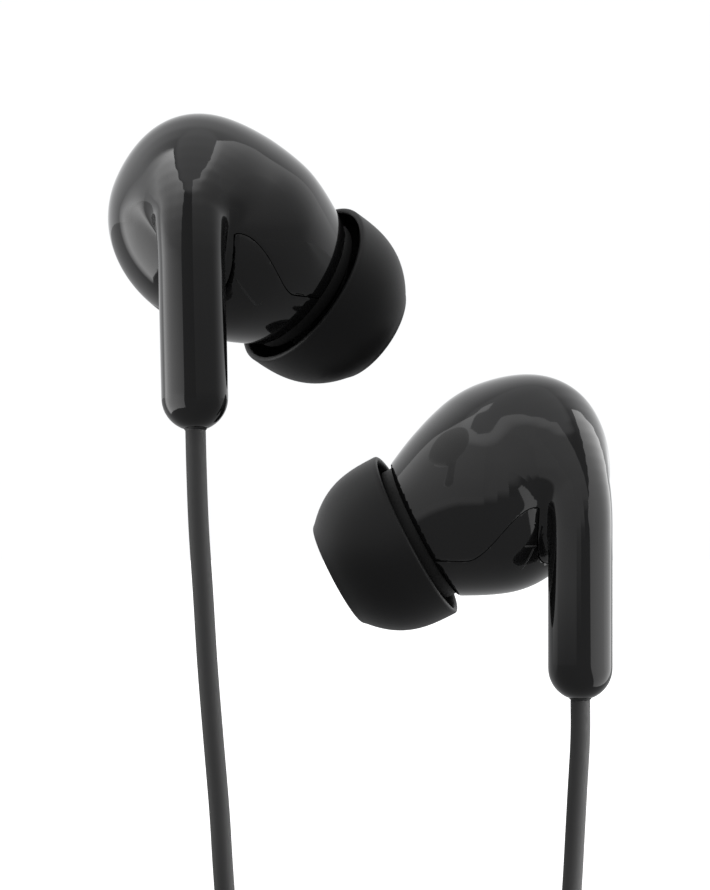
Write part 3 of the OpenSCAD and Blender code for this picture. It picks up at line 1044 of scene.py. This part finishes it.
def capsule(width: float, depth: float, length: float, ease: float, sides: int = 96) -> Mesh:
    """Flat-sided bar along Z with softly rounded ends, centred on the origin.

    Args:
        width: Size in X.
        depth: Size in Y.
        length: Size in Z.
        ease: Radius of the rounding at each end.
        sides: Points round each section.

    Returns:
        Points and faces.
    """
    sections = []
    stops = [(-1, a) for a in np.linspace(0, math.pi / 2, 9)] + [(1, a) for a in np.linspace(math.pi / 2, 0, 9)]
    for way, a in stops:
        shrink = ease * (1 - math.sin(a))
        ring = stadium(width - 2 * shrink, depth - 2 * shrink, sides)
        z = way * (length / 2 - ease + ease * math.cos(a))
        sections.append(np.column_stack([ring, np.full(sides, z)]))
    return loft(sections)


def carved(name: str, solid: Mesh, cutters: Sequence[Mesh]) -> Mesh:
    """Cuts solids out of a solid.

    Args:
        name: Name for the scratch objects.
        solid: The solid that is cut.
        cutters: The solids that are taken away.

    Returns:
        What is left.
    """
    scratch = []
    for k, (points, faces) in enumerate([solid, *cutters]):
        data = bpy.data.meshes.new(f"{name}_{k}")
        data.from_pydata(np.asarray(points).tolist(), [], faces)
        work = bmesh.new()
        work.from_mesh(data)
        bmesh.ops.recalc_face_normals(work, faces=work.faces)
        work.to_mesh(data)
        work.free()
        scratch.append(placed(f"{name}_{k}", data))
    for part in scratch[1:]:
        cut = scratch[0].modifiers.new("cut", "BOOLEAN")
        cut.operation, cut.solver, cut.object = "DIFFERENCE", "EXACT", part
    graph = bpy.context.evaluated_depsgraph_get()
    data = scratch[0].evaluated_get(graph).to_mesh()
    points = np.array([v.co[:] for v in data.vertices])
    faces = [list(f.vertices) for f in data.polygons]
    for part in scratch:
        bpy.data.objects.remove(part)
    return points, faces


def block(low: Point, high: Point, ease: float = 0.15) -> Mesh:
    """Box with corners rounded in the X-Z plane, along Y.

    Args:
        low: Lowest corner.
        high: Highest corner.
        ease: Corner radius.

    Returns:
        Points and faces.
    """
    corners = []
    for cx, cz, start in ((high[0] - ease, high[2] - ease, 0), (low[0] + ease, high[2] - ease, 90),
                          (low[0] + ease, low[2] + ease, 180), (high[0] - ease, low[2] + ease, 270)):
        for k in range(7):
            a = math.radians(start + 15 * k)
            corners.append((cx + ease * math.cos(a), cz + ease * math.sin(a)))
    return loft([np.array([(x, y, z) for x, z in corners]) for y in (low[1], high[1])])


@dataclass
class Remote:
    """The inline remote on the right lead, with three buttons on its front face."""

    centre: Point = (7.65, -16.8, -72.3)
    length: float = 27.0
    width: float = 5.2
    depth: float = 4.2
    wall: float = 0.7
    button_pitch: float = 7.4
    button_w: float = 3.0
    button_l: float = 4.6

    def build(self) -> list:
        """Builds both shells and the buttons and dresses the insides.

        Returns:
            The pieces, and the nodes that stay in view.
        """
        whole = capsule(self.width, self.depth, self.length, 1.3)
        hollow = capsule(self.width - 2 * self.wall, self.depth - 2 * self.wall, self.length - 2, 0.6)
        bore = lathe([(0.0, -20.0), (0.72, -20.0), (0.72, 20.0), (0.0, 20.0)], 32)
        half = 0.02
        back = carved("remote_back", whole, [hollow, bore, block((-9, -9, -20), (9, half, 20))])
        slots = [block((-self.button_w / 2 - 0.06, -9, z - self.button_l / 2 - 0.06),
                       (self.button_w / 2 + 0.06, -0.9, z + self.button_l / 2 + 0.06), 1.0) for z in self.rows()]
        port = lathe([(0.0, -1.0), (0.3, -1.0), (0.3, 4.0), (0.0, 4.0)], 24)
        port = (port[0] @ turned(90, 0).T + [0, 0, -1.5 * self.button_pitch], port[1])
        front = carved("remote_front", whole, [hollow, bore, block((-9, -half, -20), (9, 9, 20)), *slots, port])
        pieces = [
            add_piece("remote_back_gloss", self.set(back), "earphones", GLOSS, ["remote_back_shell"]),
            add_piece("remote_front_gloss", self.set(front), "earphones", GLOSS,
                      ["remote_front_shell"])]
        for name, z, mark in zip(("volume_down", "play", "volume_up"), self.rows(), ("minus", "dot", "plus")):
            mesh = self.button(z, mark)
            pieces.append(add_piece(f"{name}_cap", self.set(mesh), name, SATIN, [f"{name}_button"]))
        for node, finish in (("remote_board", BOARD), ("remote_switches", STEEL), ("remote_microphone", GOLD)):
            dress(node, finish)
            pieces.append(frame["nodes"][node])
        return pieces

    def rows(self) -> list[float]:
        """Heights of the three buttons, from the lowest."""
        return [k * self.button_pitch for k in (-1, 0, 1)]

    def set(self, mesh: Mesh) -> Mesh:
        """Moves a mesh from round the origin to the remote's place."""
        return np.asarray(mesh[0]) + self.centre, mesh[1]

    def button(self, z: float, mark: str) -> Mesh:
        """One cap with a crowned face and a raised mark.

        Args:
            z: Height of the button.
            mark: plus, minus or dot.

        Returns:
            Points and faces.
        """
        w, l, ease = self.button_w / 2, self.button_l / 2, 0.95
        face = -self.depth / 2 - 0.42
        sections = []
        for y, grow in ((-1.3, 0.0), (face + 0.25, 0.0), (face + 0.12, -0.04), (face + 0.03, -0.14), (face, -0.3)):
            ring = block((-w - grow, y, z - l - grow), (w + grow, y, z + l + grow), ease + grow)[0][:28]
            sections.append(ring)
        cap = loft(sections)
        bars = {"plus": [(0.75, 0.16), (0.16, 0.75)], "minus": [(0.75, 0.16)], "dot": []}[mark]
        parts = [cap]
        for bx, bz in bars:
            parts.append(block((-bx, face - 0.07, z - bz), (bx, face + 0.05, z + bz), 0.1))
        if mark == "dot":
            dot = lathe(rounded([(0.0, -0.05, 0), (0.5, -0.05, 0), (0.5, 0.07, 0.05), (0.0, 0.07, 0)]), 32)
            parts.append((dot[0] @ turned(90, 0).T + [0, face, z], dot[1]))
        return joined(*parts)


@dataclass
class Fittings:
    """The Y-split, the strap round the hank, and the plug."""

    split_at: Point = (2.0, -10.0, -72.3)
    tie_z: float = -67.0
    tie_w: float = 7.0
    plug_at: Point = (2.0, -10.0, -102.5)
    relief_l: float = 8.0
    grip_l: float = 14.0
    grip_r: float = 2.7
    pin_r: float = 1.75
    sleeve_l: float = 5.1
    ring_l: float = 1.9
    gap_l: float = 0.5

    def y_split(self) -> bpy.types.Object:
        """Makes the moulded split: an oval block that narrows to the main lead.

        Returns:
            The piece.
        """
        sections = []
        for z, w, d in ((6.5, 4.5, 2.7), (6.35, 4.95, 3.15), (6.0, 5.2, 3.4), (5.3, 5.3, 3.5), (0, 5.3, 3.5),
                        (-2, 5.2, 3.5), (-3.4, 4.5, 3.3), (-4.8, 3.4, 2.9), (-6.0, 2.6, 2.5), (-6.4, 2.3, 2.2),
                        (-6.5, 1.9, 1.8)):
            ring = stadium(max(w, d + 0.01), d, 64)
            sections.append(np.column_stack([ring, np.full(64, z)]))
        points, faces = loft(sections)
        return add_piece("y_split_moulding", (points + self.split_at, faces), "earphones", SOFT,
                         ["y_split"], 60)

    def strap(self) -> bpy.types.Object:
        """Makes the woven strap with its stud.

        Returns:
            The piece.
        """
        half_w, half_h, thick, corner = 7.88, 3.68, 0.72, 2.3
        profile = rounded([(0.04, -0.5 * self.tie_w, 0), (0.04, 0.5 * self.tie_w, 0.1),
                           (thick, 0.5 * self.tie_w, 0.25), (thick, -0.5 * self.tie_w, 0.25),
                           (0.04, -0.5 * self.tie_w, 0)], 4)[:-1]
        ring = []
        for cx, cy, start in ((1, 1, 0), (-1, 1, 90), (-1, -1, 180), (1, -1, 270)):
            for k in range(13):
                a = math.radians(start + 7.5 * k)
                ring.append((cx * (half_w - corner), cy * (half_h - corner), math.cos(a), math.sin(a)))
        points, faces, n = [], [], len(profile)
        for cx, cy, ux, uy in ring:
            for grow, z in profile:
                points.append((cx + (corner + grow) * ux, cy + (corner + grow) * uy, z))
        for i in range(len(ring)):
            for k in range(n):
                j, m = (i + 1) % len(ring), (k + 1) % n
                faces.append([i * n + k, j * n + k, j * n + m, i * n + m])
        at = np.array([self.split_at[0], self.split_at[1], self.tie_z])
        stud = lathe(rounded([(0.0, 0.0, 0), (2.0, 0.0, 0), (2.0, 0.55, 0.25), (1.5, 0.75, 0.2), (1.2, 0.6, 0.1),
                              (0.0, 0.6, 0)]), 64)
        stud = (stud[0] @ turned(90, 0).T + [-4.45, -half_h - thick + 0.12, 0], stud[1])
        points, faces = joined((np.array(points), faces), stud)
        return add_piece("hank_strap_cloth", (points + at, faces), "earphones", STRAP, ["hank_tie"], 50)

    def turned_piece(self, name: str, outlines: Sequence[list], finish: Finish,
                     node: str) -> bpy.types.Object:
        """Makes a turned part of the plug from the (radius, height) outlines of its solids."""
        points, faces = joined(*[lathe(outline, 96) for outline in outlines])
        return add_piece(name, (points + np.array(self.plug_at), faces), "earphones", finish, [node], 35)

    def plug(self) -> list[bpy.types.Object]:
        """Makes the plug: strain relief, grip, contacts and insulators.

        Returns:
            The pieces.
        """
        top = -self.relief_l - self.grip_l
        relief = [(0.715, -self.relief_l, 0), (0.715, 0, 0), (1.1, 0, 0.15)]
        for k in range(5):
            z = -0.9 - 1.25 * k
            r = 1.18 + 0.085 * k
            relief += [(r, z + 0.25, 0.06), (r - 0.22, z, 0.05), (r - 0.22, z - 0.35, 0.05), (r + 0.07, z - 0.6, 0.06)]
        relief += [(1.7, -self.relief_l + 0.6, 0.1), (1.7, -self.relief_l, 0)]
        pieces = [self.turned_piece("plug_relief_soft", [rounded(relief, 3)], SOFT,
                                    "plug_strain_relief")]
        g = self.grip_r
        grip = [(0.0, top, 0), (g - 0.4, top, 0.1), (g, top + 0.5, 0.3), (g, top + 3, 0)]
        for k in range(6):
            z = top + 3.4 + 0.9 * k
            grip += [(g, z, 0.05), (g - 0.14, z + 0.15, 0.05), (g - 0.14, z + 0.35, 0.05), (g, z + 0.5, 0.05)]
        grip += [(g, -self.relief_l - 1.2, 0.8), (g - 0.7, -self.relief_l, 0.3), (0.0, -self.relief_l, 0)]
        pieces.append(self.turned_piece("plug_grip_gloss", [rounded(grip, 4)], GLOSS, "plug_grip"))
        r, step = self.pin_r, self.ring_l + self.gap_l
        bands = [("plug_sleeve_gold", [(0, self.sleeve_l)], "contact_gold", GOLD, "plug_sleeve"),
                 ("plug_rings_gold", [(self.sleeve_l + self.gap_l + k * step, self.ring_l) for k in (0, 1)],
                  "contact_gold", GOLD, "plug_rings"),
                 ("plug_insulators_black", [(self.sleeve_l + k * step, self.gap_l) for k in (0, 1, 2)],
                  "satin_black", RING, "plug_insulators")]
        for name, spans, slot, finish, node in bands:
            edge = 0.04 if finish is GOLD else 0.0
            outlines = []
            for start, size in spans:
                a, b = top - start, top - start - size
                outlines.append([(0.0, a), (r - edge, a), (r, a - edge - 0.001), (r, b + edge + 0.001),
                                 (r - edge, b), (0.0, b)])
            pieces.append(self.turned_piece(name, outlines, finish, node))
        z0 = top - self.sleeve_l - 2 * self.ring_l - 3 * self.gap_l
        tip = [(0.0, z0, 0), (r, z0, 0.03), (r, z0 - 0.6, 0.1), (1.2, z0 - 1.5, 0.3), (1.75, z0 - 2.3, 0.35),
               (1.5, z0 - 2.8, 0.3), (0.5, z0 - 3.6, 0.25), (0.0, z0 - 3.6, 0)]
        pieces.append(self.turned_piece("plug_tip_gold", [rounded(tip, 6)], GOLD, "plug_tip"))
        return pieces


# ---------------------------------------------------------------- the studio


@dataclass
class Studio:
    """Camera, pale seamless floor and soft lights."""

    target: Point = (-1.014, -5.6, -8.05)
    distance: float = 360.0
    width: float = 49.44
    floor_z: float = -150.0

    def build(self, left: Sequence[bpy.types.Object], right: Sequence[bpy.types.Object]) -> None:
        """Sets up everything that isn't the object.

        Args:
            left: Pieces that the left bud's lights fall on.
            right: Pieces that the right bud's lights fall on.
        """
        self.camera()
        self.sweep_floor()
        self.world()
        self.lights(left, right)

    def camera(self) -> None:
        """Places the camera level, looking along +Y."""
        data = bpy.data.cameras.new("view")
        camera = placed("view", data)
        x, y, z = self.target
        camera.location = (x * MM, (y - self.distance) * MM, z * MM)
        camera.rotation_euler = (math.radians(90), 0, 0)
        data.sensor_fit = "HORIZONTAL"
        data.sensor_width = 36.0
        data.lens = 36.0 * self.distance / self.width
        data.clip_start, data.clip_end = 0.01, 20.0
        data.dof.use_dof = False
        bpy.context.scene.camera = camera

    def sweep_floor(self) -> None:
        """Makes the pale floor, its colour darker on the viewer's side as painted shade."""
        data = bpy.data.meshes.new("floor")
        half = 6.0
        data.from_pydata([(-half, -half, 0), (half, -half, 0), (half, half, 0), (-half, half, 0)], [], [(0, 1, 2, 3)])
        floor = placed("floor", data)
        floor.location = (0, 0, self.floor_z * MM)
        paper = bpy.data.materials.new("pale_paper")
        paper.use_nodes = True
        tree = paper.node_tree
        where = tree.nodes.new("ShaderNodeTexCoord").outputs["Object"]
        split = added(tree, "SeparateXYZ", {"Vector": where})
        # painted shade: the floor's colour falls from 0.8 behind to 0.45 on the viewer's side
        painted_shade_ramp = added(tree, "MapRange", {"Value": split.outputs["Y"], "From Min": -0.02, "From Max": 0.25,
                                        "To Min": 0.45, "To Max": 0.8}, interpolation_type="SMOOTHSTEP")
        feed(tree, tree.nodes["Principled BSDF"], {
            "Base Color": painted_shade_ramp.outputs["Result"], "Roughness": 0.95, "Specular IOR Level": 0.1,
            "Emission Color": (1, 1, 1, 1), "Emission Strength": 0.9})
        data.materials.append(paper)
        floor.light_linking.receiver_collection = gathered("paper_glow", [floor])

    def world(self) -> None:
        """Makes the surround: white behind, at the sides and overhead, dim towards the viewer's side."""
        world = bpy.data.worlds.new("studio")
        bpy.context.scene.world = world
        world.use_nodes = True
        tree = world.node_tree
        where = tree.nodes.new("ShaderNodeTexCoord").outputs["Generated"]
        split = added(tree, "SeparateXYZ", {"Vector": where})
        back = added(tree, "MapRange", {"Value": split.outputs["Y"], "From Min": -0.2, "From Max": 0.75,
                                        "To Min": 0.26, "To Max": 1.02}, interpolation_type="SMOOTHSTEP")
        lid = added(tree, "MapRange", {"Value": split.outputs["Z"], "From Min": 0.8, "From Max": 0.92,
                                       "To Max": 0.9}, interpolation_type="SMOOTHSTEP")
        most = added(tree, "Math", {0: back.outputs["Result"], 1: lid.outputs["Result"]}, operation="MAXIMUM")
        feed(tree, tree.nodes["Background"], {"Strength": most.outputs["Value"], "Color": (0.985, 0.99, 1.0, 1)})

    def lights(self, left: Sequence[bpy.types.Object], right: Sequence[bpy.types.Object]) -> None:
        """Hangs a bright box behind each bud's shoulder and broad dim ones on its tip side.

        Args:
            left: Pieces that the left bud's lights fall on.
            right: Pieces that the right bud's lights fall on.
        """
        near_left, near_right = (-8.0, -8.0, 0.0), (11.0, 3.0, 0.0)
        on_left, on_right = gathered("left_lit", left), gathered("right_lit", right)
        Softbox("left_bright", near_left, ((-118, 0.1), (-109, 1.2), (-92, 1.05), (-62, 0.8), (-34, 0.55)),
                ((-52, 2.4), (0, 2.2), (14, 1.6), (26, 0.9), (40, 1.0), (60, 1.4), (100, 2.4), (140, 3.4))
                ).hang(on_left)
        Softbox("left_broad", near_left, ((3, 0.75), (40, 0.8), (80, 0.95), (128, 1.0)),
                ((-38, 0.0), (-8, 0.04), (20, 0.12), (32, 0.22), (48, 0.3), (80, 0.42), (110, 0.6), (150, 1.0),
                 (210, 1.9))).hang(on_left)
        Softbox("right_broad", near_right, ((-116, 0.75), (-82, 0.6), (-47, 0.5), (-12, 0.42)),
                ((-28, 0.0), (-20, 0.9), (0, 1.0), (20, 1.2), (60, 1.4), (110, 1.5), (200, 1.7))).hang(on_right)
        for name, start, end, low in (("right_brow", -12, 3, -24), ("right_mid", 3, 16, -16),
                                      ("right_temple", 16, 36, 1)):
            Softbox(name, near_right, ((start, 0.4), (end, 0.4)), ((low, 0.0), (low + 13, 1.0), (60, 1.4), (200, 1.7))
                    ).hang(on_right)
        Softbox("right_bright", near_right, ((80, 1.0), (80, 2.4)), ((-90, 1.0), (82, 1.0))
                ).hang_tilted(212, 36, (32, -2), on_right)
        for group, x in ((on_left, -11.0), (on_right, 14.0)):
            cords = gathered(f"{group.name}_cords", [o for o in group.objects if o.name.endswith("jacket")])
            Softbox(f"{group.name}_cord", (x, -8.0, -40.0), ((50, 2.0), (85, 7.0), (120, 7.0)),
                    ((-60, 1.0), (34, 1.0)), 120.0).hang(cords)


@dataclass(frozen=True)
class Softbox:
    """A curved softbox, built as a fan of upright panels round a point, with a soft gradient.

    Attributes:
        name: Name of the box.
        at: The point that the panels face.
        spans: (azimuth, glow) of the panels' edges; azimuth is from the viewer's side, positive towards +X.
        heights: (height over the point, share of the glow), from the bottom to the top.
        reach: Distance of the panels from the point.
    """

    name: str
    at: Point
    spans: tuple[tuple[float, float], ...]
    heights: tuple[tuple[float, float], ...]
    reach: float = 80.0

    def hang(self, group: bpy.types.Collection) -> None:
        """Makes the panels, whose light falls on the group alone."""
        for k, (start, end) in enumerate(zip(self.spans[:-1], self.spans[1:])):
            self._panel(f"{self.name}_{k}", start, end, group)

    def hang_tilted(self, wide: float, roll: float, shift: tuple[float, float], group: bpy.types.Collection) -> None:
        """Makes one flat panel, rolled about the line to the point.

        Args:
            wide: Width of the panel.
            roll: Degrees that its right end is raised by.
            shift: How far it stands to the right and up, seen from the point.
            group: Pieces that the light falls on.
        """
        tall = self.heights[-1][0] - self.heights[0][0]
        light = self._light(self.name, wide, tall, self.spans[0][1], self.spans[1][1], group)
        a = math.radians(self.spans[0][0])
        right, up = shift
        x, y, z = self.at
        light.location = ((x + self.reach * math.sin(a) + right * math.cos(a)) * MM,
                          (y - self.reach * math.cos(a) + right * math.sin(a)) * MM, (z + up) * MM)
        turn = Matrix.Rotation(a, 4, "Z") @ Matrix.Rotation(math.pi / 2, 4, "X")
        light.rotation_euler = (turn @ Matrix.Rotation(math.radians(roll), 4, "Z")).to_euler()

    def _panel(self, name: str, start: tuple[float, float], end: tuple[float, float],
               group: bpy.types.Collection) -> None:
        """Makes one panel between two azimuths.

        Args:
            name: Name of the light.
            start: (azimuth, glow) of its left edge, seen from the point.
            end: The same for its right edge.
            group: Pieces that the light falls on.
        """
        half = math.radians(end[0] - start[0]) / 2
        low, high = self.heights[0][0], self.heights[-1][0]
        light = self._light(name, 2 * self.reach * math.tan(half), high - low, start[1], end[1], group)
        a = math.radians(start[0] + end[0]) / 2
        x, y, z = self.at
        light.location = ((x + self.reach * math.sin(a)) * MM, (y - self.reach * math.cos(a)) * MM,
                          (z + (low + high) / 2) * MM)
        light.rotation_euler = (math.pi / 2, 0, a)

    def _light(self, name: str, wide: float, tall: float, start: float, end: float,
               group: bpy.types.Collection) -> bpy.types.Object:
        """Makes one rectangular light that only its group receives and blocks.

        Args:
            name: Name of the light.
            wide: Its width.
            tall: Its height.
            start: Glow at its left edge.
            end: Glow at its right edge.
            group: Pieces that the light falls on.

        Returns:
            The light, not yet in its place.
        """
        data = bpy.data.lights.new(name, "AREA")
        data.shape, data.size, data.size_y = "RECTANGLE", wide * MM, tall * MM
        data.energy = math.pi * wide * tall * MM * MM
        self._gradient(data, start, end)
        light = placed(name, data)
        light.visible_camera = False
        light.light_linking.receiver_collection = group
        light.light_linking.blocker_collection = group
        return light

    def _gradient(self, data: bpy.types.Light, start: float, end: float) -> None:
        """Gives a panel its gradient.

        Args:
            data: The light.
            start: Glow at its left edge.
            end: Glow at its right edge.
        """
        data.use_nodes = True
        tree = data.node_tree
        where = tree.nodes.new("ShaderNodeNewGeometry").outputs["Parametric"]
        split = added(tree, "SeparateXYZ", {"Vector": where})
        across = added(tree, "MapRange", {"Value": split.outputs["X"], "To Min": start, "To Max": end})
        up = added(tree, "FloatCurve", {"Value": split.outputs["Y"]})
        low, high = self.heights[0][0], self.heights[-1][0]
        top = max(share for _, share in self.heights)
        curve = up.mapping.curves[0]
        points = [((h - low) / (high - low), share / top) for h, share in self.heights]
        curve.points[0].location, curve.points[1].location = points[0], points[-1]
        for point in points[1:-1]:
            curve.points.new(*point)
        for point in curve.points:
            point.handle_type = "VECTOR"
        up.mapping.update()
        times = added(tree, "Math", {0: across.outputs["Result"], 1: up.outputs["Value"]}, operation="MULTIPLY")
        scaled = added(tree, "Math", {0: times.outputs["Value"], 1: top}, operation="MULTIPLY")
        feed(tree, tree.nodes["Emission"], {"Strength": scaled.outputs["Value"]})


def main() -> None:
    """Builds the sub-assemblies in order, then the studio."""
    logging.basicConfig(level=logging.INFO, format="%(name)s: %(message)s")
    cables = Cables()
    cords = cables.build()
    buds = [Bud("left", Place((-11.83, -14.9, -7.08), (28.6, -7.6, -1.6)),
                strokes=(((3.31, -0.13, 10.45), (4.31, 0.37, 9.75), (5.31, 0.85, 9.05)),
                         ((5.31, 0.85, 9.05), (5.7, 0.7, 9.2)))),
            Bud("right", Place((14.88, -0.92, -26.05), (0.7, 0.0, 0.0), mirrored=True),
                strokes=(((3.91, -0.36, 10.81), (3.0, -0.3, 10.65)),
                         ((3.13, -0.22, 10.53), (3.6, 0.4, 9.85), (4.16, 1.06, 9.16))))]
    for bud in buds:
        bud.build()
    remote = Remote().build()
    fittings = Fittings()
    split, strap, plug = fittings.y_split(), fittings.strap(), fittings.plug()
    own = [o for o in bpy.context.scene.objects if o.type == "MESH" and not o.hide_render]
    left = [o for o in own if o.name.startswith("left_")]
    for piece in own:
        piece.visible_glossy = piece.name.startswith(("left_", "right_")) and "_lead_" not in piece.name
    Studio().build(left, [o for o in own if o not in left])
    bpy.context.scene.view_settings.view_transform = "Standard"
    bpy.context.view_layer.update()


if __name__ == "__main__":
    main()
